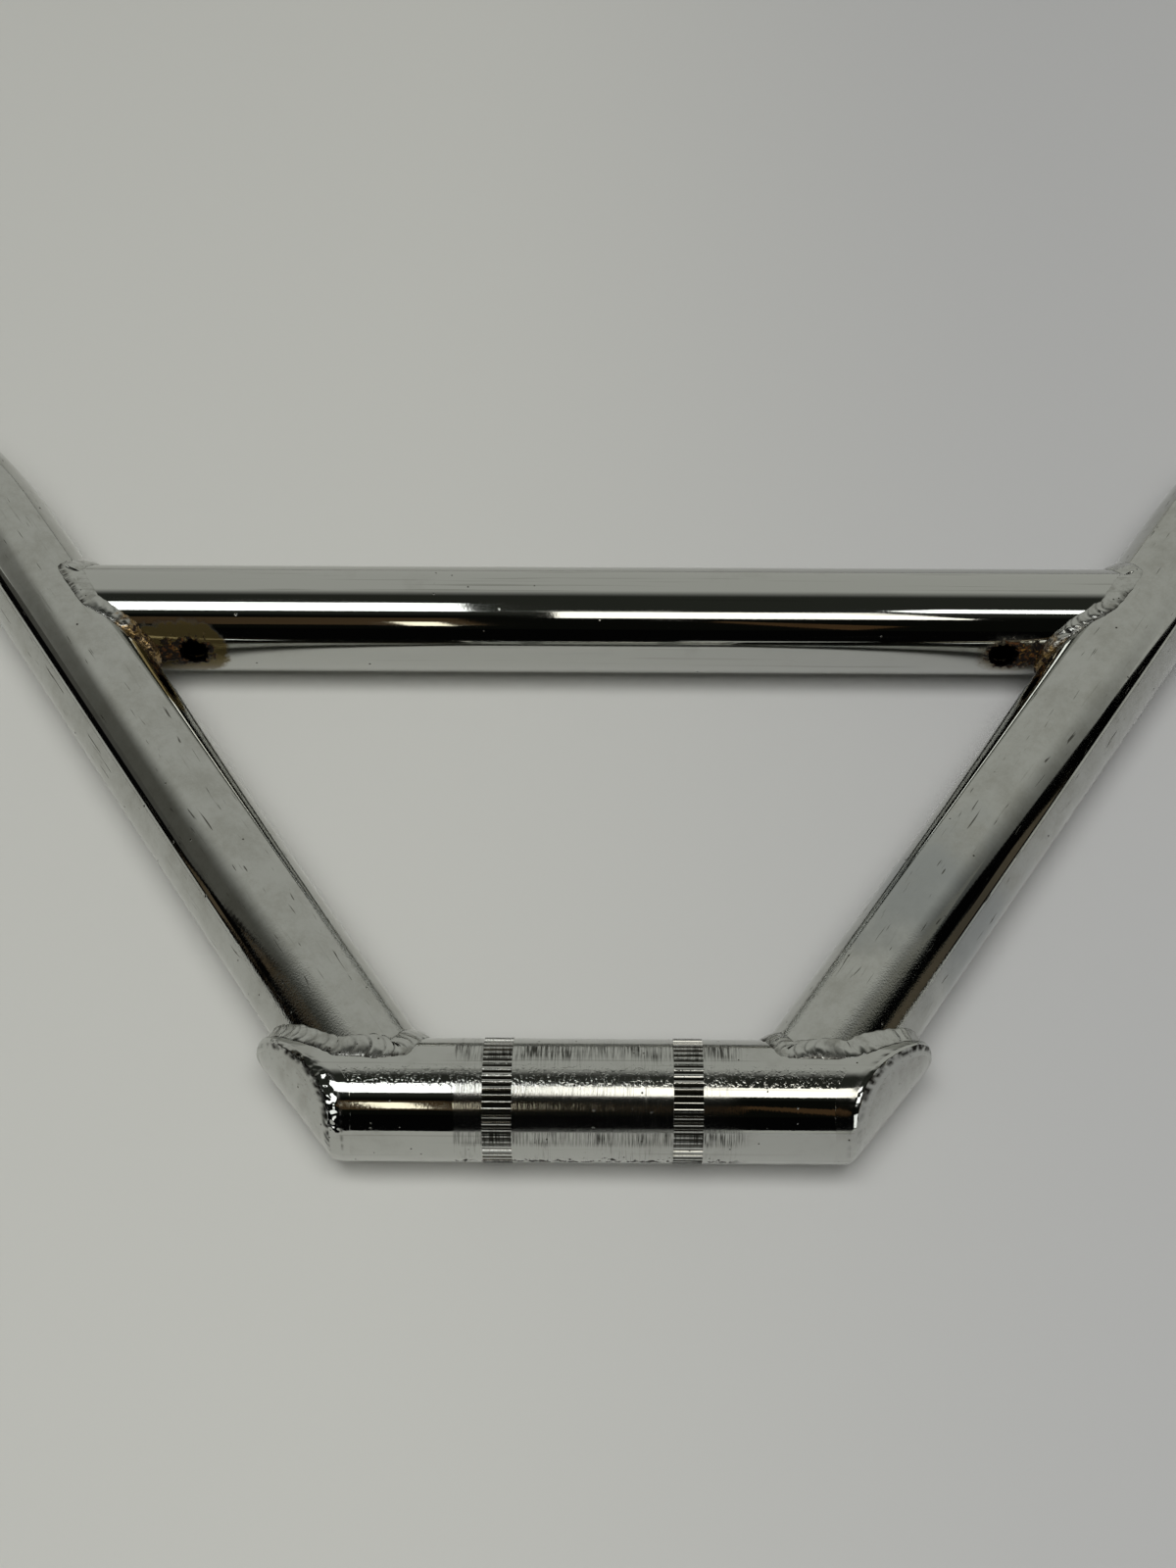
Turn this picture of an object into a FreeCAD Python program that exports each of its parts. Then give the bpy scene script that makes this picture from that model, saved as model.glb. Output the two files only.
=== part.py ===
import FreeCAD, Part
import math
import os

# A welded bicycle handlebar lying on its front: a short clamp tube, two bent uprights that run on into the
# grips, and a crossbar between them. X runs along the clamp tube, Y up the bar, Z off the surface it lies on.

Vector = FreeCAD.Vector

# Tubes, in millimetres
clamp_diameter = 22.2
clamp_wall = 3.2
upright_diameter = 22.2
upright_wall = 1.7
crossbar_diameter = 22.2
crossbar_wall = 1.5

# How the bar is laid out, from the middle of the clamp tube
foot_half_spacing = 37.0
upright_lean = 33.4
crossbar_height = 115.6
bend_start = 167.8
bend_radius = 100.0
grip_length = 150.0
grip_upsweep = 2.5
grip_backsweep = 10.0

# A coped tube's thin ears are trimmed off, this far from the axis of the tube that it sits on
upright_ear_trim = 4.6
crossbar_ear_trim = 4.6

# The slanted ends of the clamp tube, past the feet of the uprights, closed by plates that are bowed outwards
plate_overhang = 17.8
plate_slant = 37.5
plate_bow_margin = 6.0
plate_thickness = 2.6
plate_weld_round = 2.4

# Two bands of straight knurling on either side of where the stem grips: teeth with worn flat tops, and a
# narrow groove between each two
knurl_spacing = 33.8
knurl_width = 5.2
knurl_pitch = 1.25
knurl_land = 0.6
knurl_depth = 0.3
knurl_rise = 0.1

# Plating vents in the crossbar, on the side that faces the clamp tube, each this far from where the axes of
# the crossbar and an upright meet
vent_end_distance = 29.7
vent_diameter = 4.8
vent_tilt = 9.0

# Weld beads: a row of low round ripples laid along each joint
upright_bead_width = 4.2
crossbar_bead_width = 3.6
ripple_radius = 3.5
ripple_pitch = 2.2

# Tools for cutting reach this far past the solids that they cut
cutter_reach = 80.0
path_steps = 720

sides = {"left": -1, "right": 1}
axis_x = Vector(1, 0, 0)
axis_y = Vector(0, 1, 0)
axis_z = Vector(0, 0, 1)
middle = Vector(0, 0, 0)

clamp_radius = clamp_diameter / 2
upright_radius = upright_diameter / 2
crossbar_radius = crossbar_diameter / 2
plate_reach = foot_half_spacing + plate_overhang
clamp_length = 2 * plate_reach + cutter_reach


def unit(vector):
    return vector * (1 / vector.Length)


def rod(radius, start, direction, length):
    return Part.makeCylinder(radius, length, start, direction)


def foot(side):
    return Vector(side * foot_half_spacing, 0, 0)


def upright_direction(side):
    lean = math.radians(upright_lean)
    return Vector(side * math.sin(lean), math.cos(lean), 0)


def grip_direction(side):
    rise = math.radians(grip_upsweep)
    sweep = math.radians(grip_backsweep)
    return Vector(side * math.cos(rise) * math.cos(sweep), math.sin(rise) * math.cos(sweep), math.sin(sweep))


def crossbar_joint(side):
    along = crossbar_height / math.cos(math.radians(upright_lean))
    return foot(side) + upright_direction(side) * along


# A solid bar along an upright's line: straight, then one bend, then straight along the grip
def upright_bar(side, radius, extra):
    straight = upright_direction(side)
    grip = grip_direction(side)
    turn = straight.getAngle(grip)
    towards = unit(grip - straight * straight.dot(grip))
    start = foot(side) - straight * (upright_diameter + extra)
    bend = foot(side) + straight * bend_start
    pivot = bend + towards * bend_radius
    finish = pivot + straight * (bend_radius * math.sin(turn)) - towards * (bend_radius * math.cos(turn))
    lower = rod(radius, start, straight, (bend - start).Length)
    section = Part.Face(Part.Wire(Part.makeCircle(radius, bend, straight)))
    curve = section.revolve(pivot, straight.cross(towards), math.degrees(turn))
    upper = rod(radius, finish, grip, grip_length + extra)
    return lower.fuse([curve, upper])


# Everything on the far side of a tube's axis, up to a height above it
def ear_cutter(point, along, away, height):
    upward = along.cross(away)
    corner = point - along * cutter_reach - upward * cutter_reach + away * (height - cutter_reach)
    turn = FreeCAD.Rotation(along, away, upward, "XYZ")
    block = Part.makeBox(2 * cutter_reach, cutter_reach, 2 * cutter_reach)
    block.Placement = FreeCAD.Placement(corner, turn)
    return block


# The direction in the bar's own plane that leads straight off an upright, towards the other one
def inward_from_upright(side):
    along = upright_direction(side)
    inward = Vector(-side, 0, 0)
    return unit(inward - along * along.dot(inward))


# The solid bars that a coped tube sits on
def clamp_bar():
    return rod(clamp_radius, Vector(-clamp_length / 2, 0, 0), axis_x, clamp_length)


def upright_straight(side):
    along = upright_direction(side)
    return rod(upright_radius, crossbar_joint(side) - along * cutter_reach, along, 2 * cutter_reach)


def coped_upright(side, shape):
    ears = ear_cutter(foot(side), axis_x, axis_y, upright_ear_trim)
    return shape.cut(ears).cut(clamp_bar())


def coped_crossbar(shape):
    for side in sides.values():
        along = upright_direction(side)
        ears = ear_cutter(crossbar_joint(side), along, inward_from_upright(side), crossbar_ear_trim)
        shape = shape.cut(ears).cut(upright_straight(side))
    return shape


def upright(side):
    outside = upright_bar(side, upright_radius, 0)
    bore = upright_bar(side, upright_radius - upright_wall, 1)
    return coped_upright(side, outside.cut(bore))


def crossbar_bar(radius):
    reach = crossbar_joint(1).x
    return rod(radius, Vector(-reach, crossbar_height, 0), axis_x, 2 * reach)


def vent(side):
    tilt = math.radians(vent_tilt)
    outward = Vector(0, -math.cos(tilt), math.sin(tilt))
    start = crossbar_joint(side) - axis_x * (side * vent_end_distance)
    return rod(vent_diameter / 2, start, outward, crossbar_diameter)


def crossbar():
    tube = crossbar_bar(crossbar_radius).cut(crossbar_bar(crossbar_radius - crossbar_wall))
    vents = [vent(side) for side in sides.values()]
    return coped_crossbar(tube).cut(vents)


# Everything inside one bowed end of the clamp tube, a given depth below the plate's outer face
def inside_end(side, depth):
    slant = math.radians(plate_slant)
    outward = Vector(side * math.cos(slant), -math.sin(slant), 0)
    along = Vector(side * math.sin(slant), math.cos(slant), 0)
    bow = clamp_radius + plate_bow_margin
    radius = bow - depth
    centre = Vector(side * plate_reach, 0, 0) - outward * bow - along * cutter_reach
    top = centre + axis_z * radius
    bottom = centre - axis_z * radius
    back = outward * -cutter_reach
    edges = [
        Part.Arc(top, centre + outward * radius, bottom).toShape(),
        Part.makeLine(bottom, bottom + back),
        Part.makeLine(bottom + back, top + back),
        Part.makeLine(top + back, top),
    ]
    return Part.Face(Part.Wire(edges)).extrude(along * (2 * cutter_reach))


# A slice of the clamp tube with a ring of straight teeth round it
def knurl_band(start):
    teeth = round(2 * math.pi * clamp_radius / knurl_pitch)
    half_land = knurl_land / (2 * clamp_radius)
    top = clamp_radius + knurl_rise
    points = []
    for tooth in range(teeth):
        angle = 2 * math.pi * tooth / teeth
        groove = angle + math.pi / teeth
        for turn, radius in ((angle - half_land, top), (angle + half_land, top), (groove, clamp_radius - knurl_depth)):
            points.append(Vector(start, radius * math.cos(turn), radius * math.sin(turn)))
    points.append(points[0])
    return Part.Face(Part.makePolygon(points)).extrude(axis_x * knurl_width)


def clamp_tube():
    band_inner = (knurl_spacing - knurl_width) / 2
    band_outer = (knurl_spacing + knurl_width) / 2
    plain_length = clamp_length / 2 - band_outer
    slices = [rod(clamp_radius, Vector(-band_inner, 0, 0), axis_x, 2 * band_inner)]
    for side in sides.values():
        slices.append(rod(clamp_radius, Vector(side * band_outer, 0, 0), Vector(side, 0, 0), plain_length))
        slices.append(knurl_band(side * knurl_spacing / 2 - knurl_width / 2))
    tube = slices[0].multiFuse(slices[1:])
    tube = tube.cut(rod(clamp_radius - clamp_wall, Vector(-clamp_length / 2, 0, 0), axis_x, clamp_length))
    for side in sides.values():
        tube = tube.common(inside_end(side, plate_thickness))
    return tube


def end_blank(side, radius):
    return rod(radius, middle, Vector(side, 0, 0), clamp_length / 2)


# The plate and the weld round its rim, which is ground to one smooth round from the tube to the plate's face
def closed_end(side):
    closure = end_blank(side, clamp_radius).common(inside_end(side, 0)).cut(inside_end(side, plate_thickness))
    outer = max(closure.Faces, key=lambda face: face.CenterOfMass.x * side)
    closure = closure.makeFillet(plate_weld_round, outer.Edges)
    core = end_blank(side, clamp_radius - plate_weld_round)
    return closure.common(core), closure.cut(core)


# Where the ripples of a bead lie: evenly along the line on which a branch tube meets the tube that carries it
def bead_centres(point, along, branch, carrier_radius, branch_radius, ear_trim, width):
    away = unit(branch - along * along.dot(branch))
    upward = along.cross(away)
    across = upward.cross(branch)
    line = []
    for step in range(path_steps):
        angle = 2 * math.pi * step / path_steps
        outward = across * math.cos(angle) + upward * math.sin(angle)
        rise = branch_radius * math.sin(angle)
        height = max(math.sqrt(max(carrier_radius ** 2 - rise ** 2, 0)), ear_trim)
        offset = outward * branch_radius
        travel = (height - offset.dot(away)) / branch.dot(away)
        place = point + offset + branch * travel
        carrier_outward = unit(away * height + upward * rise)
        half_valley = (math.pi - outward.getAngle(carrier_outward)) / 2
        half_chord = width / 2 * math.sin(half_valley)
        sink = math.sqrt(ripple_radius ** 2 - half_chord ** 2) - width / 2 * math.cos(half_valley)
        line.append((place, place - unit(outward + carrier_outward) * sink))
    lengths = [0]
    for step in range(path_steps):
        lengths.append(lengths[-1] + (line[(step + 1) % path_steps][0] - line[step][0]).Length)
    count = round(lengths[-1] / ripple_pitch)
    centres = []
    for ripple in range(count):
        wanted = lengths[-1] * ripple / count
        nearest = min(range(path_steps), key=lambda step: abs(lengths[step] - wanted))
        centres.append(line[nearest][1])
    return centres


def bead(centres):
    ripples = [Part.makeSphere(ripple_radius, centre) for centre in centres]
    return ripples[0].multiFuse(ripples[1:])


def upright_weld(side):
    centres = bead_centres(foot(side), axis_x, upright_direction(side), clamp_radius, upright_radius,
                           upright_ear_trim, upright_bead_width)
    branch = coped_upright(side, upright_bar(side, upright_radius, 0))
    return bead(centres).cut(clamp_bar()).cut(branch)


def crossbar_weld(side):
    centres = bead_centres(crossbar_joint(side), upright_direction(side), Vector(-side, 0, 0), upright_radius,
                           crossbar_radius, crossbar_ear_trim, crossbar_bead_width)
    branch = coped_crossbar(crossbar_bar(crossbar_radius))
    return bead(centres).cut(upright_straight(side)).cut(branch)


# One side is built, and the other is its mirror image
def build():
    side = sides["right"]
    plate, plate_weld = closed_end(side)
    pieces = {
        "upright": upright(side),
        "end_plate": plate,
        "upright_weld": upright_weld(side),
        "crossbar_weld": crossbar_weld(side),
        "end_plate_weld": plate_weld,
    }
    nodes = {"clamp_tube": clamp_tube(), "crossbar": crossbar()}
    for name, shape in pieces.items():
        nodes["right_" + name] = shape
        nodes["left_" + name] = shape.mirror(middle, axis_x)
    return nodes


os.makedirs("parts", exist_ok=True)
for name, shape in build().items():
    shape.exportStep("parts/" + name + ".step")
    print(name, "solids", len(shape.Solids), "valid", shape.isValid(), "volume", round(shape.Volume, 1))
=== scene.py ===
import bisect
import math
import random

import bpy
from mathutils import Matrix, Vector, noise


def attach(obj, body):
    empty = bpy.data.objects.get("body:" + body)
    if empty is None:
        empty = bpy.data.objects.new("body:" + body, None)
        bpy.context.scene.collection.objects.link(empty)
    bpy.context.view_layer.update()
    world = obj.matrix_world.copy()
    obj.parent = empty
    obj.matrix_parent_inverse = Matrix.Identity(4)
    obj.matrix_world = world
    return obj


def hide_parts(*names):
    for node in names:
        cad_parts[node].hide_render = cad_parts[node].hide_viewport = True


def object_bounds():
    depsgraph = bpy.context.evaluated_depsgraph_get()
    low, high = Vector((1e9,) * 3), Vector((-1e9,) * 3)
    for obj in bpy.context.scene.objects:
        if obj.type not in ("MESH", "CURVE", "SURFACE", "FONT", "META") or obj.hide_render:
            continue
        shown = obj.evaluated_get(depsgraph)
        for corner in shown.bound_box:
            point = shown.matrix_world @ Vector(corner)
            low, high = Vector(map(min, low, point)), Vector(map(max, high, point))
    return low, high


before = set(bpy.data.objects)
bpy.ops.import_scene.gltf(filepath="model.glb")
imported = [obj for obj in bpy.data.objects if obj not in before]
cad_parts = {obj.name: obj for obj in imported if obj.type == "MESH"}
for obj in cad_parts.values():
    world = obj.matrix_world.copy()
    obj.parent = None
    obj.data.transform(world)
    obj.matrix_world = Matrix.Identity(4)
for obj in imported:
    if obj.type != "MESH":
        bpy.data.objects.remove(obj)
cadLow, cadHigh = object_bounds()
mm = 0.001
fullTurn = 2 * math.pi
sides = {"left": -1, "right": 1}
print("frame loaded:", len(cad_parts), "nodes")

# what many nodes are given alike
smooth = {"interpolation_type": "SMOOTHSTEP"}
times = {"operation": "MULTIPLY"}
falling = {"To Min": 1.0, "To Max": 0.0}


# sRGB hex to the linear colour that shader sockets take
def linear(hexColour):
    channels = [int(hexColour[i:i + 2], 16) / 255 for i in (1, 3, 5)]
    return tuple(c / 12.92 if c <= 0.04045 else ((c + 0.055) / 1.055) ** 2.4 for c in channels) + (1.0,)


# adds one node; an input's value may be a number, a colour, another node or one of its outputs
def addNode(tree, kind, inputs=None, **settings):
    node = tree.nodes.new("ShaderNode" + kind)
    for name, value in settings.items():
        setattr(node, name, value)
    for name, value in (inputs or {}).items():
        if isinstance(value, bpy.types.Node):
            value = value.outputs[0]
        if isinstance(value, bpy.types.NodeSocket):
            tree.links.new(value, node.inputs[name])
        elif value is not None:
            node.inputs[name].default_value = value
    return node


# the two ends of what a Map Range node reads
def over(ends):
    return {"From Min": ends[0], "From Max": ends[1]}


def newMaterial(name):
    material = bpy.data.materials.new(name)
    material.use_nodes = True
    material.node_tree.nodes.clear()
    return material, material.node_tree


# camera, as fitted to the edges of the tubes in the photograph

photoCamera = {
    "lens": 54.0,  # mm, on the default 36 mm sensor
    "place": (3.02, -213.95, 369.73),  # mm from the middle of the clamp tube
    "lookDown": 52.27,  # degrees below level
    "turn": 0.94,
    "roll": -0.42,
    "clipStart": 10.0,  # mm
}

bpy.ops.object.select_all(action="DESELECT")
bpy.ops.object.camera_add()
camera = bpy.context.object
camera.name = "photoCamera"
camera.data.lens = photoCamera["lens"]
camera.data.clip_start = photoCamera["clipStart"] * mm
camera.matrix_world = (
    Matrix.Translation(Vector(photoCamera["place"]) * mm)
    @ Matrix.Rotation(math.radians(photoCamera["turn"]), 4, "Z")
    @ Matrix.Rotation(math.radians(90 - photoCamera["lookDown"]), 4, "X")
    @ Matrix.Rotation(math.radians(photoCamera["roll"]), 4, "Z")
)
bpy.context.scene.camera = camera
bpy.context.scene.view_settings.view_transform = "Standard"
print("camera set")


# studio: pale floor and surroundings, with dark cards and white panels that only show in the chrome

studio = {  # m
    "floorSize": 14.0,
    "floorColour": "#dcdcd6",
    "floorRightTintAndShade": "#cccccb",
    "floorBlend": (-0.06, 0.12),
    "floorRoughness": 0.7,
    "surroundColour": "#b4b5af",
    "surroundStrength": 1.0,
    "surroundLight": 0.28,
    "softboxPlace": (-0.05, -0.95, 2.6),
    "softboxSize": 1.8,
    "softboxStrength": 4.35,
    "cardHeight": 2.0,
    "cardReach": 5.0,
    "cardNear": -3.2,
    "cardColour": "#2b2d28",
    "cardNearColour": "#0c0d0a",
    "cardNearBlend": (-0.7, -1.1),
    "cardSides": (0.5, 1.3),  # the fade goes from its first value to its second over this way out
    "cardFadeStart": (0.55, 0.35),
    "cardFadeEnd": (1.2, 1.3),
    "greyColour": "#565650",
    "greyFadeX": (-2.6, -1.2),
    "greyFadeY": (0.7, 2.2),
    "floorLights": ("ceilingPanelLeft", "ceilingPanelRight"),  # the panels that light the floor too
}

bpy.ops.mesh.primitive_plane_add(size=studio["floorSize"], location=(0, 0, cadLow.z))
floor = bpy.context.object
floor.name = "floor"
floorMaterial, tree = newMaterial("pale_painted_board")  # matt paint, a little cooler to the right and darker there: the darkening is painted shade for light that falls off to the right
x, y, z = addNode(tree, "SeparateXYZ", {0: addNode(tree, "TexCoord").outputs["Object"]}).outputs
across = addNode(tree, "MapRange", {"Value": x, **over(studio["floorBlend"])}, **smooth)
paint = addNode(tree, "Mix", {
    0: across, 6: linear(studio["floorColour"]), 7: linear(studio["floorRightTintAndShade"])}, data_type="RGBA")
shader = addNode(tree, "BsdfPrincipled", {"Base Color": paint.outputs[2], "Roughness": studio["floorRoughness"]})
addNode(tree, "OutputMaterial", {"Surface": shader})
floor.data.materials.append(floorMaterial)

world = bpy.data.worlds.new("pale_surround")
bpy.context.scene.world = world
world.use_nodes = True
tree = world.node_tree
tree.nodes.clear()
path = addNode(tree, "LightPath")
seen = path.outputs["Is Camera Ray"]
for ray in ("Is Glossy Ray", "Is Transmission Ray"):
    seen = addNode(tree, "Math", {0: seen, 1: path.outputs[ray]}, operation="MAXIMUM")
strength = addNode(tree, "MapRange", {  # what is seen is pale; what lights the floor comes more from above
    "Value": seen, "To Min": studio["surroundLight"], "To Max": studio["surroundStrength"]})
light = addNode(tree, "Background", {"Color": linear(studio["surroundColour"]), "Strength": strength})
addNode(tree, "OutputWorld", {"Surface": light})


# a flat card or panel with four corners in mm, hidden from the camera
def hangPanel(name, corners, material, glossy=True, diffuse=False):
    mesh = bpy.data.meshes.new(name)
    mesh.from_pydata([Vector(corner) * mm for corner in corners], [], [(0, 1, 2, 3)])
    panel = bpy.data.objects.new(name, mesh)
    bpy.context.scene.collection.objects.link(panel)
    panel.data.materials.append(material)
    panel.visible_camera = False
    panel.visible_diffuse = diffuse
    panel.visible_glossy = glossy
    panel.visible_transmission = glossy
    panel.visible_shadow = False


def panelLight(name, colour, strength):
    material, tree = newMaterial(name)
    glow = addNode(tree, "Emission", {"Color": linear(colour), "Strength": strength})
    addNode(tree, "OutputMaterial", {"Surface": glow})
    return material


# a card shows its own colour, and is clear where the fade is 1
def endCard(tree, colour, fade):
    glow = addNode(tree, "Emission", {"Color": colour, "Strength": 1.0})
    mix = addNode(tree, "MixShader", {0: fade, 1: glow, 2: addNode(tree, "BsdfTransparent")})
    addNode(tree, "OutputMaterial", {"Surface": mix})


cardMaterial, tree = newMaterial("dark_card")  # fades into the pale surround, sooner out at the sides
x, y, z = addNode(tree, "SeparateXYZ", {0: addNode(tree, "TexCoord").outputs["Object"]}).outputs
sideways = addNode(tree, "Math", {0: x}, operation="ABSOLUTE")
fadeEnds = {}
for socket, (middle, out) in {"From Min": studio["cardFadeStart"], "From Max": studio["cardFadeEnd"]}.items():
    fadeEnds[socket] = addNode(tree, "MapRange", {
        "Value": sideways, **over(studio["cardSides"]), "To Min": middle, "To Max": out}, **smooth)
fade = addNode(tree, "MapRange", {"Value": y, **fadeEnds}, **smooth)
nearer = addNode(tree, "MapRange", {"Value": y, **over(studio["cardNearBlend"])}, **smooth)
shade = addNode(tree, "Mix", {
    0: nearer, 6: linear(studio["cardColour"]), 7: linear(studio["cardNearColour"])}, data_type="RGBA")
endCard(tree, shade.outputs[2], fade)

greyCard, tree = newMaterial("grey_card")  # clears towards the middle and away from the bar
x, y, z = addNode(tree, "SeparateXYZ", {0: addNode(tree, "TexCoord").outputs["Object"]}).outputs
inward, onward = (
    addNode(tree, "MapRange", {"Value": value, **over(studio[ends])}, **smooth)
    for value, ends in ((x, "greyFadeX"), (y, "greyFadeY")))
fade = addNode(tree, "Math", {0: inward, 1: onward}, operation="MAXIMUM")
endCard(tree, linear(studio["greyColour"]), fade)

ceiling, reach, near = (studio[name] / mm for name in ("cardHeight", "cardReach", "cardNear"))
far, inner, back = (studio[name][1] / mm for name in ("cardFadeEnd", "greyFadeX", "greyFadeY"))
below = ceiling - 6
hangPanel("ceilingCard", [(x, y, ceiling) for x, y in ((-reach, near), (reach, near), (reach, far), (-reach, far))],
          cardMaterial)
hangPanel("greyCardLeft", [(-reach, 330, below), (inner, 500, below), (inner, back, below), (-reach, back, below)],
          greyCard)

panels = {  # low and high corner of a rectangle, or all four corners, in mm; colour; strength
    "nearCardLeft": (((-reach, near, cadLow.z / mm), (120, near, ceiling)), "#050505", 1.0),
    "nearCardRight": (((120, near, 340), (reach, near, ceiling)), "#050505", 1.0),
    "sideCardLeft": (((-reach, near, 360), (-reach, far, 1250)), "#080808", 1.0),
    "sideCardLeftTop": (((-reach, near, 1250), (-reach, far, ceiling)), "#4c4c47", 1.0),
    "sideCardRight": (((reach, 420, 360), (reach, 950, ceiling)), "#030303", 1.0),
    "sideCardRightNear": (((reach, near, 360), (reach, 420, 1700)), "#544d40", 1.0),
    "sideCardRightTop": (((reach, near, 1700), (reach, 420, ceiling)), "#080808", 1.0),
    "sideDarkLeft": (((-5000, -600, 1994), (-2300, 330, 1994)), "#050505", 1.0),
    "wallDarkLeft": (((-4990, -600, 360), (-4990, 330, 1990)), "#050505", 1.0),
    "wallBrownLeft": (((-4985, 100, 620), (-4985, 250, 1200)), "#564c3c", 1.0),
    "wallOliveRight": (((4985, -600, 1600), (4985, 250, 1990)), "#544d40", 1.0),
    "wallFootRight": (((4990, -600, 340), (4990, 420, 600)), "#040404", 1.0),
    "rimWallLeft": (((-2700, -3185, 500), (-1500, -3185, 1950)), "#fbfdfb", 1.5),
    "rimWallRight": (((1500, -3185, 500), (2700, -3185, 1950)), "#fbfdfb", 1.5),
    "rimPanelLeft": (((-1750, -1550, 1980), (-1050, -980, 1980)), "#fbfdfb", 2.4),
    "rimPanelRight": (((1050, -1550, 1980), (1750, -980, 1980)), "#fbfdfb", 2.4),
    "ceilingPanelLeft": (((-800, -620, 1990), (-155, 15, 1990)), "#fbfdfb", 3.0),
    "ceilingPanelRight": (((345, -580, 1990), (900, -290, 1990)), "#fbfdfb", 3.0),
    "nearPanel": (((-20, -165, 420), (106, -38, 420)), "#fffbf0", 2.2),
    "warmPanel": (((-104, -505, 480), (-81, -345, 480)), "#fff6dc", 2.0),
    "brownPanelLeft": (((-800, -2300, 1985), (-190, -1280, 1985)), "#463827", 1.0),
    # these narrow or run aslant
    "brownTaper": (((140, -1480, 1985), (430, -2150, 1985), (430, -3000, 1985), (140, -1640, 1985)), "#483623", 1.0),
    "sideLineLeft": (((-5000, 260, 1993), (-2000, 390, 1993), (-2000, 470, 1993), (-5000, 335, 1993)), "#040404", 1.0),
    "sideBrownLeft": (((-4500, 190, 1993), (-2000, 230, 1993), (-2000, 390, 1993), (-4500, 280, 1993)), "#564c3c", 1.0),
    "sideOliveRight": (((4300, -600, 1982), (5000, -600, 1982), (5000, 210, 1982), (4300, 150, 1982)), "#544d40", 1.0),
    "sidePaleRight": (((1050, 520, 1994), (2150, 505, 1994), (2150, 690, 1994), (1050, 760, 1994)), "#7c7c74", 1.0),
    "sideStripeRight": (((2150, 500, 1993), (2150, -500, 1993), (5000, 370, 1993), (5000, 900, 1993)), "#050505", 1.0),
    "nearTaper": (((106, -165, 420), (152, -165, 420), (152, -150, 420), (106, -38, 420)), "#fffbf0", 2.2),
    "ceilingTaper": (((300, -440, 1990), (345, -580, 1990), (345, -290, 1990), (300, -425, 1990)), "#fbfdfb", 3.0),
}
for name, (corners, colour, strength) in panels.items():
    if len(corners) == 2:
        (x, y, z), (farX, farY, farZ) = corners
        second, last = ((x, farY, z), (x, y, farZ)) if x == farX else ((farX, y, z), (x, farY, farZ))
        corners = (corners[0], second, corners[1], last)
    hangPanel(name, corners, panelLight(name, colour, strength), diffuse=name in studio["floorLights"])

half = studio["softboxSize"] / 2 / mm
x, y, z = (value / mm for value in studio["softboxPlace"])
hangPanel("softbox", [(x + half * across, y + half * on, z) for across, on in ((-1, -1), (1, -1), (1, 1), (-1, 1))],
          panelLight("softbox_cloth", "#ffffff", studio["softboxStrength"]), glossy=False, diffuse=True)
print("studio set")


# weld beads: low ridges of rippled metal that fill the valleys where the tubes meet

bar = {  # mm and degrees, as the CAD has them
    "tubeRadius": 11.1,
    "footSpacing": 37.0,
    "uprightLean": 33.4,
    "crossbarHeight": 115.6,
    "earTrim": 4.6,
}

weldBead = {  # mm, and shares of 1
    "rows": 720,
    "columns": 24,
    "cuts": 2,  # the ring is subdivided so many times to get these rows and columns
    "shownColumns": 17,
    "buried": 0.9,  # how deep the closed underside lies
    "lead": 3.0,  # the ripples run on past the joint's ends
    "pitchSpread": (0.75, 1.3),
    "heightSpread": (0.55, 1.15),
    "unevenness": ((0.16, 3.1), (0.1, 1.1)),  # how much the width wanders, and over what length
    "clearance": 0.08,  # the crown covers the corner between the tubes by this
    "footDip": 0.06,
    "rippleHeight": 0.18,
    "rippleBase": 0.3,
    "rippleBow": 1.3,  # how far a ripple's middle runs ahead of its ends
    "rippleAtFoot": 0.35,
    "lumpSize": 2.6,
    "creaseFrom": 0.7,  # darker in the last part of each ripple
    "footFrom": 0.86,  # and along both feet
    "toeFrom": 0.4,  # and in strokes along the low foot, partly painted shade laid over the highlight that foot would catch
    "toeSoft": 0.3,
    "strokeLength": 0.45,
    "strokeShare": (0.6, 1.5),
}

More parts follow.
